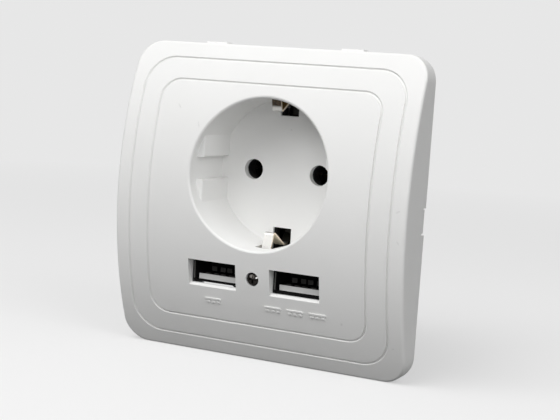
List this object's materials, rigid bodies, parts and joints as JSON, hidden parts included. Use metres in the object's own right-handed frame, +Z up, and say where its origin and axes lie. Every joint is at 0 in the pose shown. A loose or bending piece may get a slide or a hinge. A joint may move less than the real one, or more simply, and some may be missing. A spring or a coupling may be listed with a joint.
{
  "type": "usb wall socket",
  "caption": "Flush wall socket with a bowed square cover, a round earthed plug recess with sprung side clips, and USB charging ports side by side below it",
  "frame": {"origin": "centre of the wall plane, midway between the two wall-screw slots in the yoke", "axes": "+Z up as it stands on the wall, -Y out of the wall towards the user, +X right as seen from the front"},
  "size_m": [0.0812, 0.0473, 0.0817],
  "materials": {
    "white_plastic": "satin moulded",
    "white_insulator": "matt moulded",
    "dark_plastic": "matt moulded",
    "zinc_steel": "zinc plated",
    "tinned_brass": "tin plated, brass at the cut edges",
    "nickel": "nickel plated",
    "contact_metal": "tin plated",
    "brass": "plain pressed",
    "board_laminate": "dark lacquered laminate",
    "ferrite": "ground",
    "yellow_tape": "wrapped tape",
    "capacitor_sleeve": "shrunk sleeve",
    "black_resin": "moulded resin",
    "blue_ceramic": "dipped",
    "fuse_body": "lacquered",
    "dark_steel": "dark phosphated steel"
  },
  "bodies": {
    "socket": {"front_cover": "white_plastic", "cover_screw": "dark_steel", "usb_left_shell": "nickel", "usb_right_shell": "nickel", "usb_left_tongue": "white_insulator", "usb_right_tongue": "white_insulator", "usb_left_contacts": "contact_metal", "usb_right_contacts": "contact_metal", "mounting_yoke": "zinc_steel", "yoke_screws": "zinc_steel", "base_housing": "dark_plastic", "rear_cover": "dark_plastic", "rear_screws": "zinc_steel", "live_contact": "brass", "neutral_contact": "brass", "earth_strap": "brass", "live_terminal": "brass", "neutral_terminal": "brass", "earth_terminal": "brass", "terminal_screws": "zinc_steel", "charger_board": "board_laminate", "transformer_core": "ferrite", "transformer_winding": "yellow_tape", "input_capacitors": "capacitor_sleeve", "output_capacitor": "capacitor_sleeve", "rectifier_bridge": "black_resin", "controller_chip": "black_resin", "safety_capacitor": "blue_ceramic", "fuse_resistor": "fuse_body", "claw_pins": "zinc_steel"},
    "clip_top": {"earth_clip_top": "tinned_brass"},
    "clip_bottom": {"earth_clip_bottom": "tinned_brass"},
    "screw_left": {"claw_screw_left": "zinc_steel"},
    "screw_right": {"claw_screw_right": "zinc_steel"},
    "nut_left": {"claw_nut_left": "zinc_steel"},
    "nut_right": {"claw_nut_right": "zinc_steel"},
    "grip_left": {"claw_left": "zinc_steel"},
    "grip_right": {"claw_right": "zinc_steel"}
  },
  "joints": [
    {"name": "clip_top_flex", "type": "hinge", "parent": "socket", "child": "clip_top", "pos_m": [0, 0.00932, 0.02566], "axis": [-1, 0, 0], "range_deg": [0, 7], "stiffness_Nm_per_rad": 0.6},
    {"name": "clip_bottom_flex", "type": "hinge", "parent": "socket", "child": "clip_bottom", "pos_m": [0, 0.00932, -0.00834], "axis": [1, 0, 0], "range_deg": [0, 7], "stiffness_Nm_per_rad": 0.6},
    {"name": "screw_left_turn", "type": "hinge", "parent": "socket", "child": "screw_left", "pos_m": [-0.022, 0, 0], "axis": [0, 1, 0], "range_deg": [0, 2880]},
    {"name": "screw_right_turn", "type": "hinge", "parent": "socket", "child": "screw_right", "pos_m": [0.022, 0, 0], "axis": [0, 1, 0], "range_deg": [0, 2880]},
    {"name": "nut_left_draw", "type": "slide", "parent": "socket", "child": "nut_left", "axis": [0, -1, 0], "range_m": [0, 0.0056]},
    {"name": "nut_right_draw", "type": "slide", "parent": "socket", "child": "nut_right", "axis": [0, -1, 0], "range_m": [0, 0.0056]},
    {"name": "claw_left_spread", "type": "hinge", "parent": "socket", "child": "grip_left", "pos_m": [-0.0264, 0.0026, 0], "axis": [0, 0, 1], "range_deg": [0, 28]},
    {"name": "claw_right_spread", "type": "hinge", "parent": "socket", "child": "grip_right", "pos_m": [0.0264, 0.0026, 0], "axis": [0, 0, -1], "range_deg": [0, 28]}
  ],
  "couplings": [
    {"joint": "screw_left_turn", "follows": "nut_left_draw", "rad_per_m": 8976},
    {"joint": "claw_left_spread", "follows": "nut_left_draw", "rad_per_m": 87.266},
    {"joint": "screw_right_turn", "follows": "nut_right_draw", "rad_per_m": 8976},
    {"joint": "claw_right_spread", "follows": "nut_right_draw", "rad_per_m": 87.266}
  ]
}
